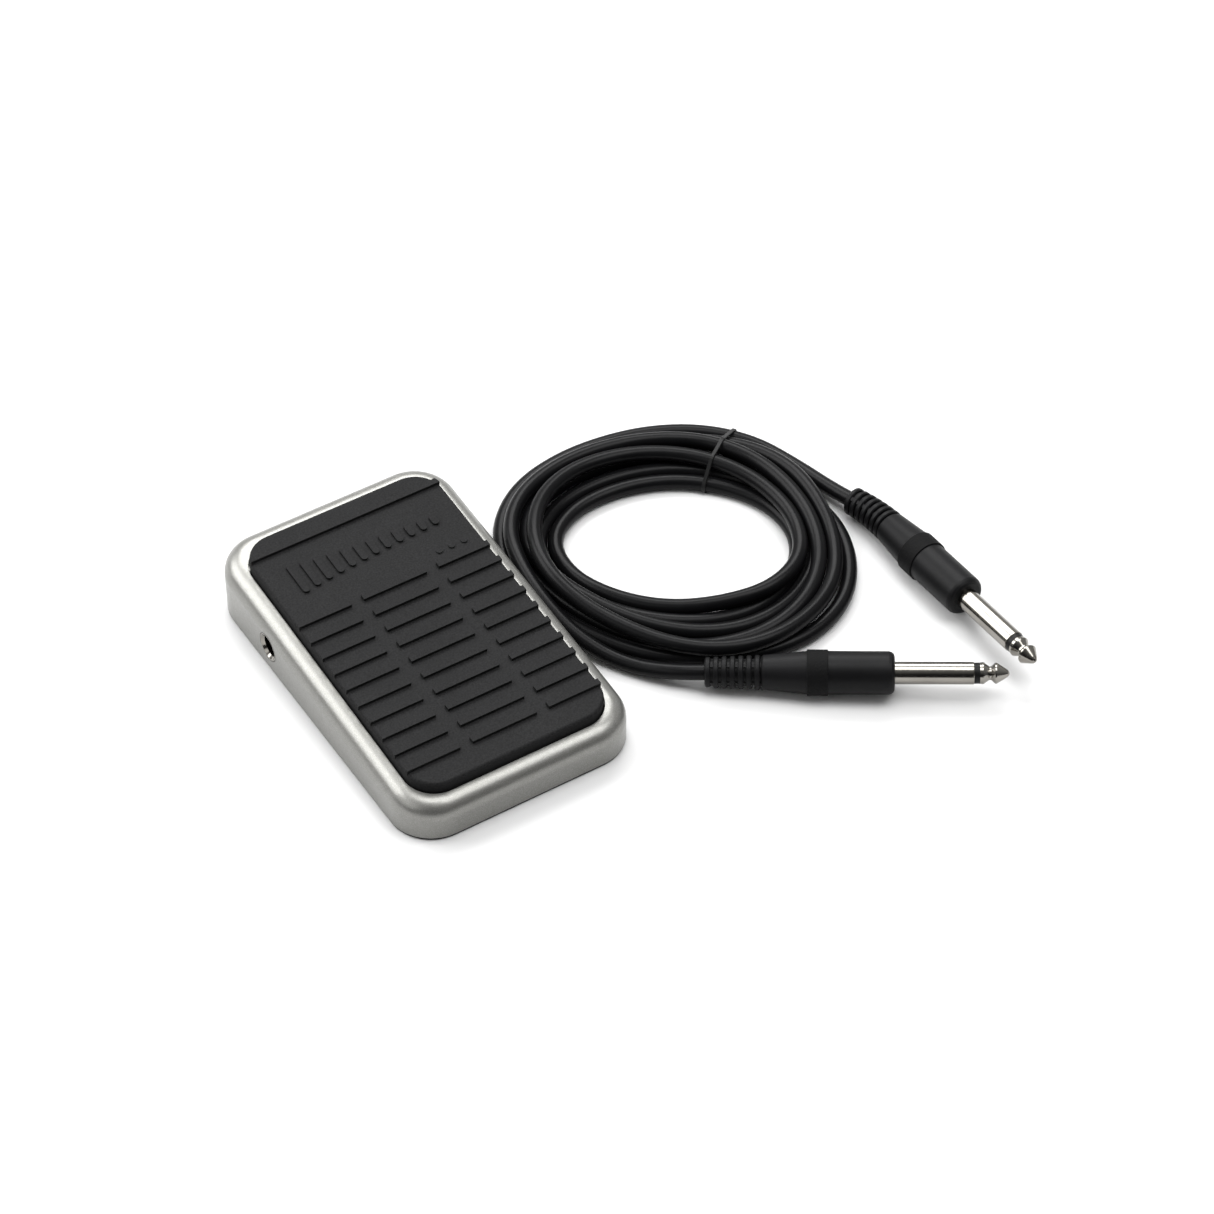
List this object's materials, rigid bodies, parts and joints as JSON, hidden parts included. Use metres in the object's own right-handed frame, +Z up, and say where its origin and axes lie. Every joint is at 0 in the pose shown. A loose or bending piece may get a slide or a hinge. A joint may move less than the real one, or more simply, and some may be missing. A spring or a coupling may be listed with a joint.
{
  "type": "sustain pedal",
  "caption": "Low wedge-shaped foot switch with a rocking rubber tread in a silver metal shell and a socket in its side, with a coiled loose lead that has a plug on each end.",
  "frame": {"origin": "middle of the underside of the pedal body, on the surface it stands on", "axes": "+Z up; +Y along the pedal towards its high, hinged end; +X to the right seen from the low end, so the socket is in the -X wall and the lead lies on the +X side"},
  "size_m": [0.1829, 0.154, 0.0233],
  "materials": {
    "housing": "satin metallic silver paint",
    "black_rubber": "matt rubber sheet",
    "zinc_steel": "zinc plated",
    "screw_steel": "zinc plated screws",
    "pin_steel": "ground steel",
    "white_nylon": "moulded nylon",
    "tread_rubber": "matt moulded rubber",
    "spring_steel": "spring wire",
    "black_plastic": "moulded switch case",
    "red_plastic": "moulded plunger",
    "contact_brass": "tinned brass",
    "nickel": "nickel plate",
    "wire_red": "wire insulation",
    "wire_black": "wire insulation",
    "cable_black": "smooth cable jacket, half gloss",
    "tie_black": "thin black tie",
    "plug_black": "moulded, satin",
    "insulator_black": "moulded ring"
  },
  "bodies": {
    "base": {"housing": "housing", "sole": "black_rubber", "base_plate": "zinc_steel", "base_screws": "screw_steel", "hinge_pin": "pin_steel", "hinge_keepers": "zinc_steel", "spring_seats": "white_nylon", "return_springs": "spring_steel", "stop_bumpers": "black_rubber", "switch_body": "black_plastic", "switch_terminals": "contact_brass", "switch_bracket": "zinc_steel", "switch_screws": "screw_steel", "bracket_screws": "screw_steel", "jack_bush": "nickel", "jack_body": "black_plastic", "jack_tip_contact": "contact_brass", "jack_sleeve_contact": "contact_brass", "wire_tip": "wire_red", "wire_sleeve": "wire_black", "cable_coil": "cable_black", "cable_tail_a": "cable_black", "cable_tail_b": "cable_black", "coil_tie": "tie_black", "plug_a_grip": "plug_black", "plug_a_sleeve": "nickel", "plug_a_insulator": "insulator_black", "plug_a_tip": "nickel", "plug_b_grip": "plug_black", "plug_b_sleeve": "nickel", "plug_b_insulator": "insulator_black", "plug_b_tip": "nickel"},
    "treadle": {"treadle_plate": "zinc_steel", "tread_pad": "tread_rubber", "hinge_bushes": "white_nylon", "actuator_stud": "pin_steel", "spring_caps": "white_nylon"},
    "switch_plunger": {"switch_plunger": "red_plastic"}
  },
  "joints": [
    {"name": "treadle_hinge", "type": "hinge", "parent": "base", "child": "treadle", "pos_m": [0, 0.0445, 0.012], "axis": [1, 0, 0], "range_deg": [0, 2], "stiffness_Nm_per_rad": 17, "springref_deg": -1.35, "deforming": ["return_springs"]},
    {"name": "switch_travel", "type": "slide", "parent": "base", "child": "switch_plunger", "axis": [0, 0, -1], "range_m": [0, 0.0007]}
  ],
  "couplings": [
    {"joint": "switch_travel", "follows": "treadle_hinge", "m_per_rad": 0.0185}
  ]
}
